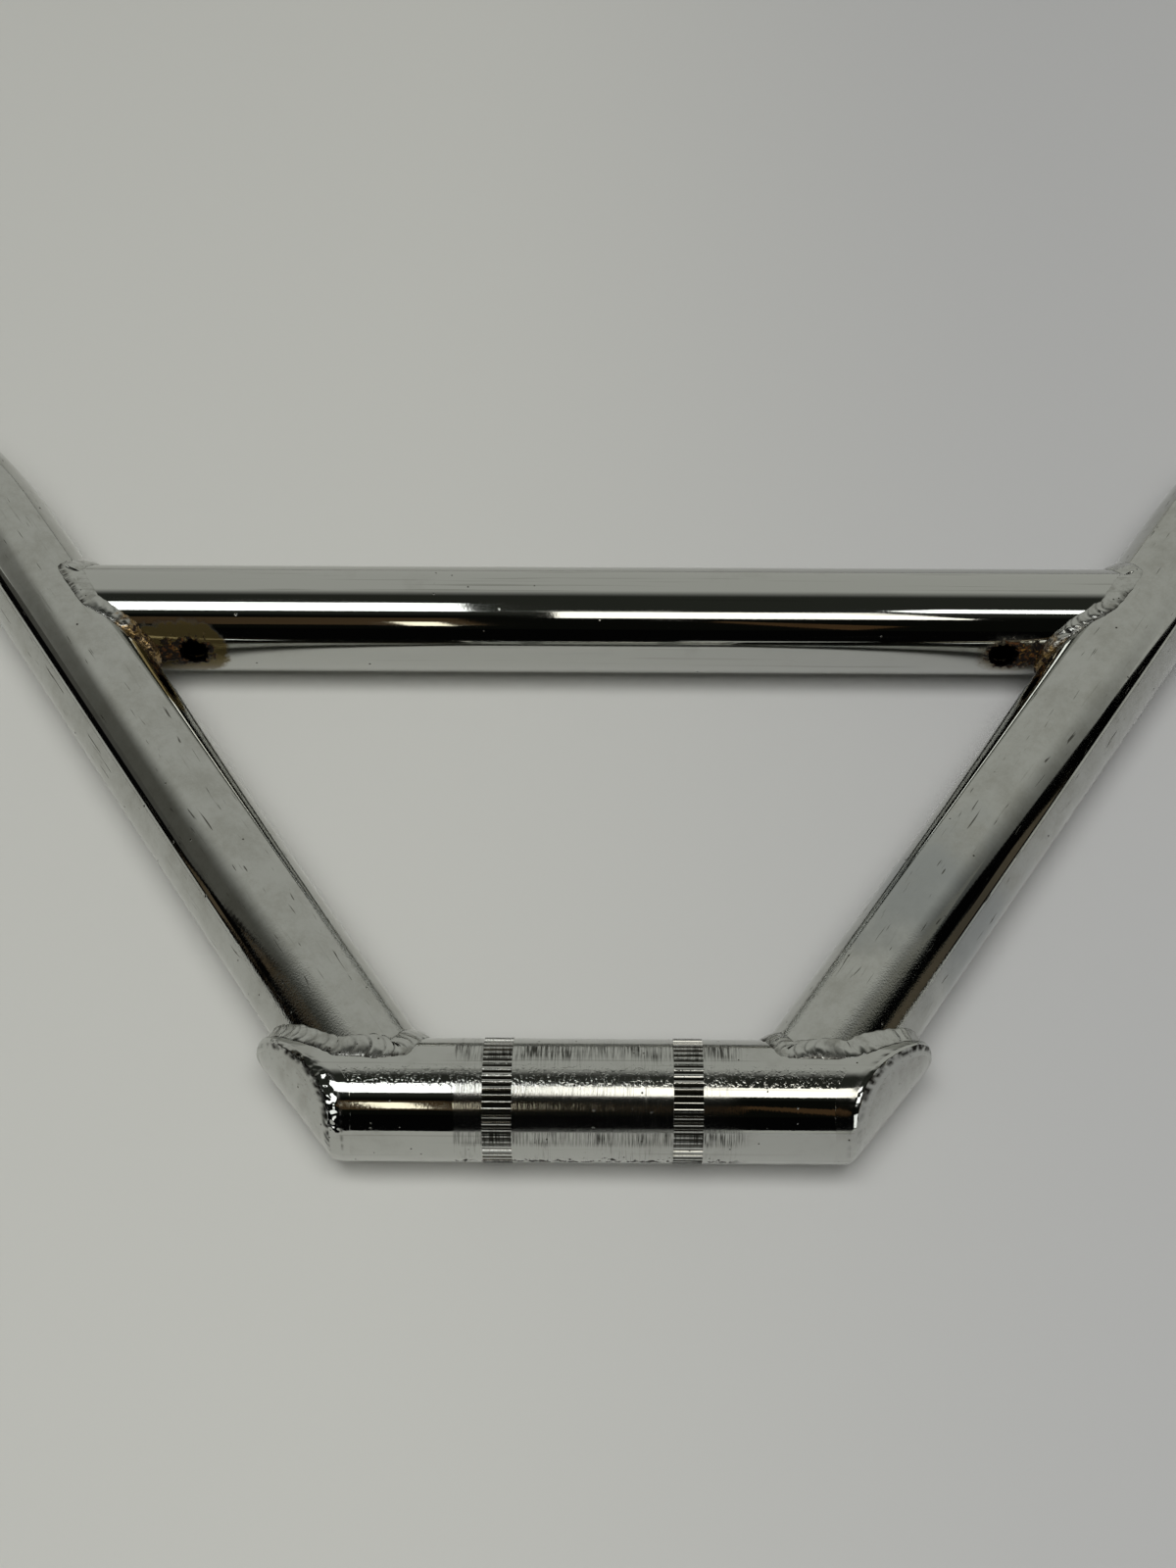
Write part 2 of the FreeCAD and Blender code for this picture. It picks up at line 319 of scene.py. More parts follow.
# each line is (place round the joint, value); 0 to 1 is the side off the floor, 1 to 2 the side towards it
beadShapes = {
    "left_upright_weld": {
        "seed": 3, "width": 4.4,
        "crown": [(0, 0.15), (0.2, 0.25), (0.5, 0.22), (0.75, 0.15), (1, 0.1), (1.25, 0.6), (1.5, 1.1), (1.75, 0.6),
                  (2, 0.15)],
        "ripples": [(0, 0.7), (0.05, 1), (0.2, 1), (0.27, 0.6), (0.45, 0.6), (0.5, 1.1), (0.64, 1.1), (0.72, 0.08),
                    (1.05, 0), (1.2, 0.6), (2, 0.7)],
        "pitch": [(0, 1.2), (0.2, 1.4), (0.3, 2.5), (0.48, 2.3), (0.55, 1.6), (1, 2), (2, 1.8)],
        "lumps": [(0, 0.5), (0.08, 0.35), (0.16, 0.08), (1.85, 0.08), (2, 0.5)],
        "toe": [(0, 0), (0.25, 0), (0.32, 0.9), (0.62, 0.9), (0.7, 0), (2, 0)],
        "widths": [(0, 1.05), (0.1, 1.1), (0.3, 0.95), (0.6, 1.1), (0.8, 1.0), (1, 0.7), (1.2, 0.9), (2, 1.05)],
    },
    "right_upright_weld": {
        "seed": 8, "width": 4.4,
        "crown": [(0, 0.15), (0.2, 0.22), (0.5, 0.18), (0.75, 0.12), (1, 0.1), (1.25, 0.6), (1.5, 1.1), (1.75, 0.6),
                  (2, 0.15)],
        "ripples": [(0, 0.5), (0.1, 0.2), (0.3, 0.1), (0.46, 0.18), (0.54, 0.5), (0.6, 1.1), (0.8, 1.1), (0.9, 0.15),
                    (1.05, 0), (1.2, 0.6), (2, 0.6)],
        "pitch": [(0, 2.2), (0.4, 1.9), (0.7, 1.7), (1, 1.8), (2, 1.9)],
        "lumps": [(0, 0.55), (0.1, 0.4), (0.2, 0.12), (0.45, 0.1), (1.85, 0.08), (2, 0.55)],
        "toe": [(0, 0), (0.36, 0), (0.42, 0.9), (0.8, 0.9), (0.86, 0), (2, 0)],
        "widths": [(0, 1.1), (0.25, 1.1), (0.5, 0.95), (0.8, 0.95), (1, 0.7), (1.2, 0.9), (2, 1.1)],
    },
    "left_crossbar_weld": {
        "seed": 5, "width": 3.9,
        "crown": [(0, 0.35), (0.25, 0.3), (0.45, 0.15), (0.7, 0.12), (1, 0.3), (1.5, 0.6), (1.8, 0.4), (2, 0.4)],
        "ripples": [(0, 0.03), (0.66, 0.06), (0.76, 0.5), (0.85, 1.2), (1.2, 1), (1.8, 0.7), (2, 0.03)],
        "pitch": [(0, 2.6), (0.3, 1.7), (0.55, 1.5), (0.7, 2.1), (1, 2.2), (2, 2.4)],
        "lumps": [(0, 0.06), (0.3, 0.1), (0.6, 0.08), (0.75, 0.12), (0.9, 0.45), (1.2, 0.4), (1.5, 0.2), (2, 0.08)],
        "shift": [(0, 0.8), (0.35, 0.7), (0.6, 0.2), (1, 0), (1.7, 0), (2, 0.8)],  # mm towards the branch
        "toe": [(0, 0), (0.3, 0), (0.38, 1), (0.6, 1), (0.72, 0.4), (1, 0), (2, 0)],
        "widths": [(0, 1.3), (0.3, 1.3), (0.5, 1.1), (0.7, 0.95), (1, 1.1), (1.5, 1), (2, 1.3)],
    },
    "right_crossbar_weld": {
        "seed": 12, "width": 3.9,
        "crown": [(0, 0.35), (0.25, 0.25), (0.45, 0.12), (0.7, 0.15), (1, 0.35), (1.5, 0.6), (1.8, 0.4), (2, 0.35)],
        "ripples": [(0, 0.03), (0.6, 0.03), (0.66, 1.4), (0.9, 1.4), (1.2, 1), (1.8, 0.7), (2, 0.03)],
        "pitch": [(0, 2.8), (0.4, 2.4), (0.6, 1.8), (1, 2), (2, 2.4)],
        "lumps": [(0, 0.06), (0.3, 0.03), (0.7, 0.05), (0.82, 0.5), (1.2, 0.4), (1.5, 0.2), (2, 0.12)],
        "toe": [(0, 0), (0.4, 0), (0.55, 0.7), (0.8, 0.7), (1, 0), (2, 0)],
        "widths": [(0, 1.25), (0.35, 1.2), (0.55, 1), (0.8, 1.05), (1, 1.1), (1.5, 1), (2, 1.25)],
    },
}


# value at a place along a line of (place, value) points
def between(points, place):
    for (low, before), (high, after) in zip(points, points[1:]):
        if place <= high:
            return before + (after - before) * (place - low) / (high - low)
    return points[-1][1]


# a plain ring of rows and columns of points, to be shaped point by point
def startRing(name, sizes, width):
    bpy.ops.object.select_all(action="DESELECT")
    parts = sizes["cuts"] + 1
    bpy.ops.mesh.primitive_torus_add(major_segments=sizes["rows"] // parts, minor_segments=sizes["columns"] // parts,
                                     major_radius=bar["tubeRadius"] * mm, minor_radius=width / 2 * mm)
    ring = bpy.context.object
    ring.name = name
    bpy.ops.object.mode_set(mode="EDIT")
    bpy.ops.mesh.select_all(action="SELECT")
    bpy.ops.mesh.subdivide(number_cuts=sizes["cuts"])
    bpy.ops.object.mode_set(mode="OBJECT")
    return ring


# the row and column of a point of the plain ring
def ringPlace(point, sizes):
    x, y, z = point
    row = round(math.atan2(y, x) / fullTurn * sizes["rows"])
    column = round(math.atan2(z, math.hypot(x, y) - bar["tubeRadius"] * mm) / fullTurn * sizes["columns"])
    return row, column % sizes["columns"]


# keeps the marks for the material, turns the faces outwards and stands for the CAD's own weld
def endRing(ring, weld, marks):
    for name, values in marks.items():
        ring.data.attributes.new(name, "FLOAT", "POINT").data.foreach_set("value", values)
    bpy.ops.object.mode_set(mode="EDIT")
    bpy.ops.mesh.select_all(action="SELECT")
    bpy.ops.mesh.normals_make_consistent(inside=False)
    bpy.ops.object.mode_set(mode="OBJECT")
    bpy.ops.object.shade_smooth()
    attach(ring, "root")
    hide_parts(weld)
    return ring


# nearest point on a tube's surface
def onTube(point, joint, direction):
    middle = joint + direction * (point - joint).dot(direction)
    return middle + (point - middle).normalized() * bar["tubeRadius"]


# where the branch tube's end meets the carrier at one angle, with the way out of each tube
def jointLine(joint, carrier, branch, first, angle):
    radius, up = bar["tubeRadius"], Vector((0, 0, 1))
    away = (branch - carrier * carrier.dot(branch)).normalized()
    outward = first * math.cos(angle) + up * math.sin(angle)
    rise = radius * math.sin(angle)
    height = max(math.sqrt(max(radius ** 2 - rise ** 2, 0)), bar["earTrim"])
    place = joint + outward * radius + branch * ((height - radius * outward.dot(away)) / branch.dot(away))
    return place, outward, (away * height + up * rise).normalized()


def layBead(name, joint, carrier, branch, first):
    shape, rows, columns, shown = beadShapes[name], weldBead["rows"], weldBead["columns"], weldBead["shownColumns"]
    draw = random.Random(shape["seed"])
    bead = startRing(name.replace("weld", "bead"), weldBead, shape["width"])

    line = [jointLine(joint, carrier, branch, first, fullTurn * row / rows) for row in range(rows)]
    along = [0.0]
    for row in range(1, rows):
        along.append(along[-1] + (line[row][0] - line[row - 1][0]).length)
    marks, heights = [-weldBead["lead"]], []  # where each ripple starts, in mm along the joint
    while marks[-1] < along[-1] + weldBead["lead"]:
        row = min(bisect.bisect(along, marks[-1]), rows - 1)
        marks.append(marks[-1] + between(shape["pitch"], 2 * row / rows) * draw.uniform(*weldBead["pitchSpread"]))
        heights.append(draw.uniform(*weldBead["heightSpread"]))
    feet = []  # the bead's foot on each tube, the way out, and its height, for each row
    for row, (place, outward, carrierOutward) in enumerate(line):
        turn = 2 * row / rows
        tangent = line[(row + 1) % rows][0] - line[row - 1][0]
        upBranch = outward.cross(tangent).normalized()
        upBranch *= 1 if upBranch.dot(branch) > 0 else -1
        overCarrier = carrierOutward.cross(tangent).normalized()
        overCarrier *= 1 if overCarrier.dot(outward - branch * 0.3) > 0 else -1
        half = shape["width"] / 2 * between(shape["widths"], turn)
        half *= 1 + sum(share * noise.noise(place / size) for share, size in weldBead["unevenness"])
        shift = between(shape["shift"], turn) if "shift" in shape else 0
        high = onTube(place + upBranch * (half + shift), joint, branch)
        low = onTube(place + overCarrier * (half - shift), joint, carrier)
        out = (outward + carrierOutward).normalized()
        crown = max(between(shape["crown"], turn), (place - (low + high) / 2).dot(out) + weldBead["clearance"])
        feet.append((low, high, out, crown))  # the crown is in mm above a straight line from foot to foot

    creases, turns = [0.0] * len(bead.data.vertices), [0.0] * len(bead.data.vertices)
    for vertex in bead.data.vertices:
        row, column = ringPlace(vertex.co, weldBead)
        row %= rows
        low, high, out, crown = feet[row]
        turn = turns[vertex.index] = 2 * row / rows
        if column >= shown:  # the underside, inside the tubes
            across = 1 - 2 * (column - shown + 1) / (columns - shown + 1)
            vertex.co = (low.lerp(high, (across + 1) / 2) - out * weldBead["buried"]) * mm
            continue
        across = 2 * column / (shown - 1) - 1
        arch = 1 - across ** 2
        mark = along[row] - weldBead["rippleBow"] * arch
        index = min(max(bisect.bisect(marks, mark) - 1, 0), len(heights) - 1)
        phase = abs(2 * (mark - marks[index]) / (marks[index + 1] - marks[index]) - 1)
        scale = between(shape["ripples"], turn) * heights[index]
        ripple = weldBead["rippleHeight"] * scale * (weldBead["rippleBase"] - phase ** 4)
        lump = noise.noise(line[row][0] / weldBead["lumpSize"] + Vector((across, 0, 0)))
        rise = crown * arch - weldBead["footDip"] * across ** 8
        rise += ripple * (weldBead["rippleAtFoot"] + (1 - weldBead["rippleAtFoot"]) * arch)
        rise += between(shape["lumps"], turn) * lump * arch
        vertex.co = (low.lerp(high, (across + 1) / 2) + out * rise) * mm
        share, spread = weldBead["strokeShare"]
        stroke = share + spread * noise.noise(Vector((along[row] / weldBead["strokeLength"], 0, 0)))
        stroke *= between(shape["toe"], turn)
        # darkening: in the ripple valleys, along both feet, and in strokes along the low foot, which are partly painted
        # shade
        creases[vertex.index] = max(
            min(1, scale) * max(0, phase - weldBead["creaseFrom"]) / (1 - weldBead["creaseFrom"]),
            max(0, abs(across) - weldBead["footFrom"]) / (1 - weldBead["footFrom"]),
            min(1, stroke * max(0, -across - weldBead["toeFrom"]) / weldBead["toeSoft"]))
    return endRing(bead, name, {"crease": creases, "around": turns})


lean = math.radians(bar["uprightLean"])
beads = {}
for sideName, side in sides.items():
    upright = Vector((side * math.sin(lean), math.cos(lean), 0))
    foot = Vector((side * bar["footSpacing"], 0, 0))
    crossing = foot + upright * (bar["crossbarHeight"] / math.cos(lean))
    outer = Vector((side * math.cos(lean), -math.sin(lean), 0))
    beads[sideName + "_upright"] = layBead(sideName + "_upright_weld", foot, Vector((1, 0, 0)), upright, outer)
    beads[sideName + "_crossbar"] = layBead(sideName + "_crossbar_weld", crossing, upright, Vector((-side, 0, 0)),
                                            Vector((0, 1, 0)))
print("weld beads laid:", len(beads))


# rims of the end plates: the weld there is ground round and left a little lumpy

endPlate = {  # mm and degrees, as the CAD has them
    "reach": 54.8,
    "slant": 37.5,
    "bowRadius": 17.1,
    "thickness": 2.6,
    "weldInside": 8.7,
}

rimWeld = {  # mm
    "rows": 480,
    "columns": 24,
    "cuts": 2,
    "startWidth": 4.0,
    "tubeColumns": 5,  # flush with the tube, from just inside it
    "roundColumns": 15,  # round the edge, up to this column
    "shownColumns": 21,
    "tuck": 0.12,  # the edges lie under the tube and the plate
    "under": 0.3,  # and reach in by this
    "lip": 0.03,
    "spare": 0.05,  # the round edge stops this short of the weld's ends
    "buried": 1.2,
    "lumpSize": 1.7,
    "fineLump": (0.5, 0.45),  # share and size, against the large lumps
    "dirtSize": 0.9,
    "dirtShare": (0.6, 1.6),
    "tubeDirt": 0.6,  # share of it on the tube's side
}

# each line is (place, value): -1 is the near side, 0 the top, 1 the far side, and 2 or -2 the bottom
rimShapes = {
    "left": {
        "onTube": [(-2, 1.6), (-1, 2.0), (-0.5, 2.1), (-0.1, 2.3), (0.15, 1.3), (0.5, 1.2), (0.9, 3.2), (1.1, 3.2),
                   (2, 1.6)],
        "onFace": [(-2, 0.7), (-1, 0.7), (-0.3, 0.9), (0, 0.9), (0.4, 0.7), (0.9, 3), (1.1, 3), (2, 0.7)],
        "pull": [(-2, 0.3), (-1, 0.3), (0, 0.25), (0.4, 0.5), (0.9, 0.25), (1.1, 0.25), (2, 0.3)],
        "proud": [(-2, 0.05), (-0.2, 0.06), (0.5, 0.06), (0.9, 0), (1.1, 0), (2, 0.05)],
        "lumps": [(-2, 0.06), (-1.1, 0.08), (-0.9, 0.2), (0.2, 0.22), (0.6, 0.1), (1, 0.02), (2, 0.06)],
        "creaseDarkening": [(-2, 0), (-1, 0.1), (-0.85, 0.7), (0.3, 0.9), (0.6, 0.4), (0.9, 0), (2, 0)],
    },
    "right": {
        "onTube": [(-2, 0.8), (-1, 0.7), (-0.5, 1.1), (0, 1.0), (0.5, 0.9), (0.9, 3.2), (1.1, 3.2), (2, 0.8)],
        "onFace": [(-2, 1), (-1, 1.3), (-0.6, 0.4), (0, 0.3), (0.5, 0.4), (0.9, 3), (1.1, 3), (2, 1)],
        "pull": [(-2, 0.45), (-0.5, 0.36), (0.4, 0.5), (0.9, 0.25), (1.1, 0.25), (2, 0.45)],
        "proud": [(-2, 0.05), (-0.2, 0.08), (0.6, 0.08), (0.9, 0), (1.1, 0), (2, 0.05)],
        "lumps": [(-2, 0.06), (-0.6, 0.07), (-0.2, 0.08), (0, 0.14), (0.6, 0.14), (0.9, 0.02), (2, 0.06)],
        "creaseDarkening": [(-2, 0), (-0.9, 0.2), (-0.4, 0.3), (-0.1, 1.1), (0.6, 1.2), (0.85, 0.3), (0.95, 0), (2, 0)],
    },
}


# point of an end plate at an angle from straight up, a distance from the tube's axis, and a depth below the face
def platePoint(side, angle, radius, depth):
    slant, bow = math.radians(endPlate["slant"]), endPlate["bowRadius"]
    y, z = radius * math.sin(angle), radius * math.cos(angle)
    middle = Vector((side * (endPlate["reach"] - math.cos(slant) * bow), math.sin(slant) * bow, 0))
    away = math.sqrt((bow - depth) ** 2 - z ** 2) + (y - middle.y) * math.sin(slant)
    return Vector((middle.x + side * away / math.cos(slant), y, z))


def layRim(sideName, side):
    shape, rows, columns = rimShapes[sideName], rimWeld["rows"], rimWeld["columns"]
    radius, inside, deep, buried = bar["tubeRadius"], endPlate["weldInside"], endPlate["thickness"], rimWeld["buried"]
    flat, turned, shown = rimWeld["tubeColumns"], rimWeld["roundColumns"], rimWeld["shownColumns"]
    tuck, under, lip, spare = rimWeld["tuck"], rimWeld["under"], rimWeld["lip"], rimWeld["spare"]
    rim = startRing(sideName + "_end_plate_rim", rimWeld, rimWeld["startWidth"])

    creases = [0.0] * len(rim.data.vertices)
    for vertex in rim.data.vertices:
        row, column = ringPlace(vertex.co, rimWeld)
        angle = fullTurn * row / rows
        place = angle / (math.pi / 2)
        corner = platePoint(side, angle, radius, 0)
        back, front = platePoint(side, angle, radius, deep), platePoint(side, angle, inside, 0)
        toBack, toFront = back - corner, front - corner
        toe = corner + toBack.normalized() * min(between(shape["onTube"], place), toBack.length - spare)
        brink = corner + toFront.normalized() * min(between(shape["onFace"], place), toFront.length - spare)
        if column >= shown:  # the underside, inside the metal
            part = (column - shown + 1) / (columns - shown + 1)
            spot = platePoint(side, angle, inside - under, buried)
            spot = spot.lerp(platePoint(side, angle, radius - buried, deep + under), part)
        elif column == 0:
            spot = platePoint(side, angle, radius - tuck, deep + under)
        elif column == 1:
            spot = platePoint(side, angle, radius, deep + lip)
        elif column <= flat:
            spot = back.lerp(toe, (column - 2) / (flat - 2))
        elif column == shown - 1:
            spot = platePoint(side, angle, inside - under, tuck)
        elif column == shown - 2:
            spot = platePoint(side, angle, inside - lip, 0)
        elif column >= turned:
            spot = brink.lerp(front, (column - turned) / (shown - 3 - turned))
        else:
            part = (column - flat) / (turned - flat)
            chord = (toe + brink) / 2
            knee = chord.lerp(corner, between(shape["pull"], place))
            spot = toe.lerp(knee, part).lerp(knee.lerp(brink, part), part)
            out = (corner - chord).normalized()
            swell = min(1, 6 * part * (1 - part))
            share, size = rimWeld["fineLump"]
            lump = noise.noise(spot / rimWeld["lumpSize"]) + share * noise.noise(spot / (size * rimWeld["lumpSize"]))
            spot += out * swell * (between(shape["proud"], place) + between(shape["lumps"], place) * lump)
        if column in (flat, turned - 1, turned, turned + 1):
            dirty = between(shape["creaseDarkening"], place) * (rimWeld["tubeDirt"] if column == flat else 1)
            share, spread = rimWeld["dirtShare"]
            creases[vertex.index] = max(0, min(1, dirty * (share + spread * noise.noise(spot / rimWeld["dirtSize"]))))
        vertex.co = spot * mm
    return endRing(rim, sideName + "_end_plate_weld", {"crease": creases})


rims = {sideName: layRim(sideName, side) for sideName, side in sides.items()}
print("rims laid:", len(rims))


# worn chrome plate on steel: a cool grey mirror, about half as bright as what it reflects, dulled in clouds
# by handling, streaked along the tube and pitted where the plate has begun to fail

tubeLook = {  # sizes in mm
    "colour": "#c3c4c0",
    "roughness": 0.05,
    "cloudSize": 14.0,
    "cloudGrain": 0.62,  # how much of the cloud is fine mottling
    "clouds": (0.48, 0.74),
    "cloudColour": "#b3b3ae",
    "cloudRoughness": 0.13,
    "streakLength": 45.0,
    "streakWidth": 0.7,
    "streakColour": "#8f8f89",
    "streakRoughness": 0.2,
    "streaks": (0.6, 0.76),
    "streakShare": 0.5,
    "pitSpacing": 3.4,
    "pitSize": 0.32,
    "pitCore": 0.4,
    "pitShare": 0.16,
    "pitColour": "#3b362e",
    "pitRoughness": 0.5,
    "pitDepth": 0.03,
    "waveSize": 24.0,
    "waveHeight": 0.03,
    "grainSize": 0.55,
    "grainHeight": 0.0012,
}


# mixes another colour, roughness or metal share over a finish where a mask is 1
def wearOver(finish, mask, changes):
    for name, value in changes.items():
        value = linear(value) if isinstance(value, str) else value
        before, after, mixed, kind = (6, 7, 2, "RGBA") if name == "Base Color" else (2, 3, 0, "FLOAT")
        mix = addNode(finish["tree"], "Mix", {0: mask, before: finish[name], after: value}, data_type=kind)
        finish[name] = mix.outputs[mixed]


# how far a value is from a place, either way
def awayFrom(tree, value, place):
    offset = addNode(tree, "Math", {0: value, 1: place}, operation="SUBTRACT")
    return addNode(tree, "Math", {0: offset}, operation="ABSOLUTE")


# plated steel with the wear that all the pieces share; X runs along the tube, in mm from the origin given
def startChrome(name, look, turn=0.0, origin=(0, 0, 0)):
    material, tree = newMaterial(name)
    shift = Matrix.Rotation(-turn, 3, "Z") @ Vector(origin)
    place = addNode(tree, "Mapping", {
        "Vector": addNode(tree, "TexCoord").outputs["Object"], "Location": -shift, "Rotation": (0, 0, -turn),
        "Scale": (1 / mm,) * 3})
    finish = {"material": material, "tree": tree, "place": place, "Base Color": linear(look["colour"]),
              "Roughness": look["roughness"], "Metallic": 1.0}

    cloud = addNode(tree, "TexNoise", {  # clouds where the shine has gone
        "Vector": place, "Scale": 1 / look["cloudSize"], "Detail": 8.0, "Roughness": look["cloudGrain"]})
    dull = addNode(tree, "MapRange", {"Value": cloud, **over(look["clouds"])}, **smooth)
    wearOver(finish, dull, {"Base Color": look["cloudColour"], "Roughness": look["cloudRoughness"]})

    drawn = addNode(tree, "VectorMath", {  # wiping and handling marks along the tube
        0: place, 1: (1 / look["streakLength"], 1 / look["streakWidth"], 1 / look["streakWidth"])}, **times)
    streak = addNode(tree, "TexNoise", {"Vector": drawn, "Scale": 1.0, "Detail": 2.0})
    marks = addNode(tree, "MapRange", {
        "Value": streak, **over(look["streaks"]), "To Max": look["streakShare"]}, **smooth)
    wearOver(finish, marks, {"Base Color": look["streakColour"], "Roughness": look["streakRoughness"]})

    cell = addNode(tree, "TexVoronoi", {"Vector": place, "Scale": 1 / look["pitSpacing"]})
    chance = addNode(tree, "SeparateColor", {0: cell.outputs["Color"]})
    chosen = addNode(tree, "Math", {0: chance, 1: look["pitShare"]}, operation="LESS_THAN")
    pitEdge = look["pitSize"] / look["pitSpacing"]
    close = addNode(tree, "MapRange", {
        "Value": cell.outputs["Distance"], **over((look["pitCore"] * pitEdge, pitEdge)), **falling}, **smooth)
    pits = addNode(tree, "Math", {0: close, 1: chosen}, **times)
    wearOver(finish, pits, {"Base Color": look["pitColour"], "Roughness": look["pitRoughness"]})

    wave = addNode(tree, "TexNoise", {"Vector": place, "Scale": 1 / look["waveSize"], "Detail": 1.0})
    grain = addNode(tree, "TexNoise", {"Vector": place, "Scale": 1 / look["grainSize"], "Detail": 3.0})
    finish["relief"] = [(wave, look["waveHeight"]), (grain, look["grainHeight"]), (pits, -look["pitDepth"])]
    return finish


# lays the relief on, in order, and joins the finish to its shader
def endChrome(finish):
    tree, normal = finish["tree"], None
    for height, rise in finish["relief"]:  # mm; what is sunk is below 0
        normal = addNode(tree, "Bump", {
            "Height": height, "Distance": abs(rise) * mm, "Normal": normal}, invert=rise < 0)
    names = ("Base Color", "Roughness", "Metallic")
    shader = addNode(tree, "BsdfPrincipled", {"Normal": normal, **{name: finish[name] for name in names}})
    addNode(tree, "OutputMaterial", {"Surface": shader})
    return finish["material"]


def dress(piece, material):
    piece.data.materials.clear()
    piece.data.materials.append(material)


# crossbar: the cleanest plate, with rust that has run from the vents and the welds at its ends

crossbarLook = dict(tubeLook, roughness=0.035, clouds=(0.55, 0.85), cloudRoughness=0.1, waveHeight=0.02)
ventRust = {  # mm from the middle of the crossbar, and from its axis
    "along": 83.5,
    "near": -10.96,
    "up": 1.74,
    "stretch": 0.34,  # the stain draws out towards the weld
    "raggedSize": 1.6,
    "ragged": 2.2,
    "raggedShare": {"edge": 0.7, "film": 0.3, "hole": 0.25},
    "hole": (2.9, 3.2),
    "edge": (3.0, 4.1),
    "filmTo": 7.9,
    "middle": (-10.0, 10.0),  # where the left end's values turn into the right end's
    "ends": {"size": (1.0, 1.25), "filmFrom": (6.4, 3.4), "film": (1.0, 0.85)},  # smaller and thinner at the right
    "filmFinish": {"Base Color": "#6b5e3a", "Roughness": 0.08},
    "filmCore": {"Metallic": 0.65},
    "darkColour": "#120a05",
    "brownColour": "#5e3a16",
    "brownSize": 1.1,
    "brown": (0.5, 0.64),
    "goldColour": "#946c2e",
    "goldSize": 0.8,
    "gold": (0.58, 0.68),
    "rustFinish": {"Roughness": 0.7, "Metallic": 0.2},
    "holeShadeFinish": {"Base Color": "#040202", "Roughness": 0.95, "Metallic": 1.0},
    "rustHeight": 0.12,
    "crustHeight": 0.5,
}

finish = startChrome("bright_chrome_plate_crossbar", crossbarLook, origin=(0, bar["crossbarHeight"], 0))
tree, place = finish["tree"], finish["place"]
x, y, z = addNode(tree, "SeparateXYZ", {0: place}).outputs
out = addNode(tree, "Math", {0: x}, operation="ABSOLUTE")
beyond = addNode(tree, "Math", {0: out, 1: ventRust["along"]}, operation="SUBTRACT")
outer = addNode(tree, "Math", {0: beyond, 1: 0.0}, operation="MAXIMUM")
inner = addNode(tree, "Math", {0: beyond, 1: 0.0}, operation="MINIMUM")
drawnOut = addNode(tree, "Math", {0: outer, 1: ventRust["stretch"], 2: inner}, operation="MULTIPLY_ADD")
near = addNode(tree, "Math", {0: y, 1: ventRust["near"]}, operation="SUBTRACT")
up = addNode(tree, "Math", {0: z, 1: ventRust["up"]}, operation="SUBTRACT")
ragged = addNode(tree, "TexNoise", {
    "Vector": place, "Scale": 1 / ventRust["raggedSize"], "Detail": 4.0, "Roughness": 0.65})
raggedOff = addNode(tree, "MapRange", {
    "Value": ragged, "From Min": 0.3, "From Max": 0.7, "To Min": -ventRust["ragged"], "To Max": ventRust["ragged"]})
away = {}  # ragged distance from the vent, for the rust and its film, drawn out, and for the hole eaten through, whose unlit inside is painted on as near-black painted shade
for run, names in ((drawnOut, ("edge", "film")), (beyond, ("hole",))):
    offset = addNode(tree, "CombineXYZ", {0: run, 1: near, 2: up})
    distance = addNode(tree, "VectorMath", {0: offset}, operation="LENGTH").outputs["Value"]
    for name in names:
        away[name] = addNode(tree, "Math", {
            0: raggedOff, 1: ventRust["raggedShare"][name], 2: distance}, operation="MULTIPLY_ADD")
ends = {}
for name, (left, right) in ventRust["ends"].items():
    ends[name] = addNode(tree, "MapRange", {
        "Value": x, **over(ventRust["middle"]), "To Min": left, "To Max": right})

filmAway = addNode(tree, "Math", {0: away["film"], 1: ends["size"]}, **times)
film = addNode(tree, "MapRange", {
    "Value": filmAway, **over((ends["filmFrom"], ventRust["filmTo"])), **falling}, **smooth)
film = addNode(tree, "Math", {0: film, 1: ends["film"]}, **times)
wearOver(finish, film, ventRust["filmFinish"])
cloudy = addNode(tree, "Math", {0: film, 1: 3.0}, operation="POWER")  # clear at its edge
wearOver(finish, cloudy, ventRust["filmCore"])

rust = addNode(tree, "MapRange", {"Value": away["edge"], **over(ventRust["edge"]), **falling}, **smooth)
blotch = addNode(tree, "TexNoise", {"Vector": place, "Scale": 1 / ventRust["brownSize"], "Detail": 3.0})
brown = addNode(tree, "MapRange", {"Value": blotch, **over(ventRust["brown"])}, **smooth)
rustColour = addNode(tree, "Mix", {
    0: brown, 6: linear(ventRust["darkColour"]), 7: linear(ventRust["brownColour"])}, data_type="RGBA")
crust = addNode(tree, "TexNoise", {
    "Vector": place, "Scale": 1 / ventRust["goldSize"], "Detail": 2.0, "Distortion": 0.8})
gilt = addNode(tree, "MapRange", {"Value": crust, **over(ventRust["gold"])})
rustColour = addNode(tree, "Mix", {
    0: gilt, 6: rustColour.outputs[2], 7: linear(ventRust["goldColour"])}, data_type="RGBA")
wearOver(finish, rust, {"Base Color": rustColour.outputs[2]})
solid = addNode(tree, "Math", {0: rust, 1: 3.0}, operation="POWER")
wearOver(finish, solid, ventRust["rustFinish"])
# the hole round each vent is painted near black: painted shade for its unlit inside
holeShade = addNode(tree, "MapRange", {"Value": away["hole"], **over(ventRust["hole"]), **falling})
wearOver(finish, holeShade, ventRust["holeShadeFinish"])
crusty = addNode(tree, "Math", {0: crust, 1: solid}, **times)
finish["relief"] += [(solid, ventRust["rustHeight"]), (crusty, ventRust["crustHeight"])]
dress(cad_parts["crossbar"], endChrome(finish))
print("crossbar dressed")


# uprights: satin from handling, grainy near the welds where the steel was hot, with short scratches

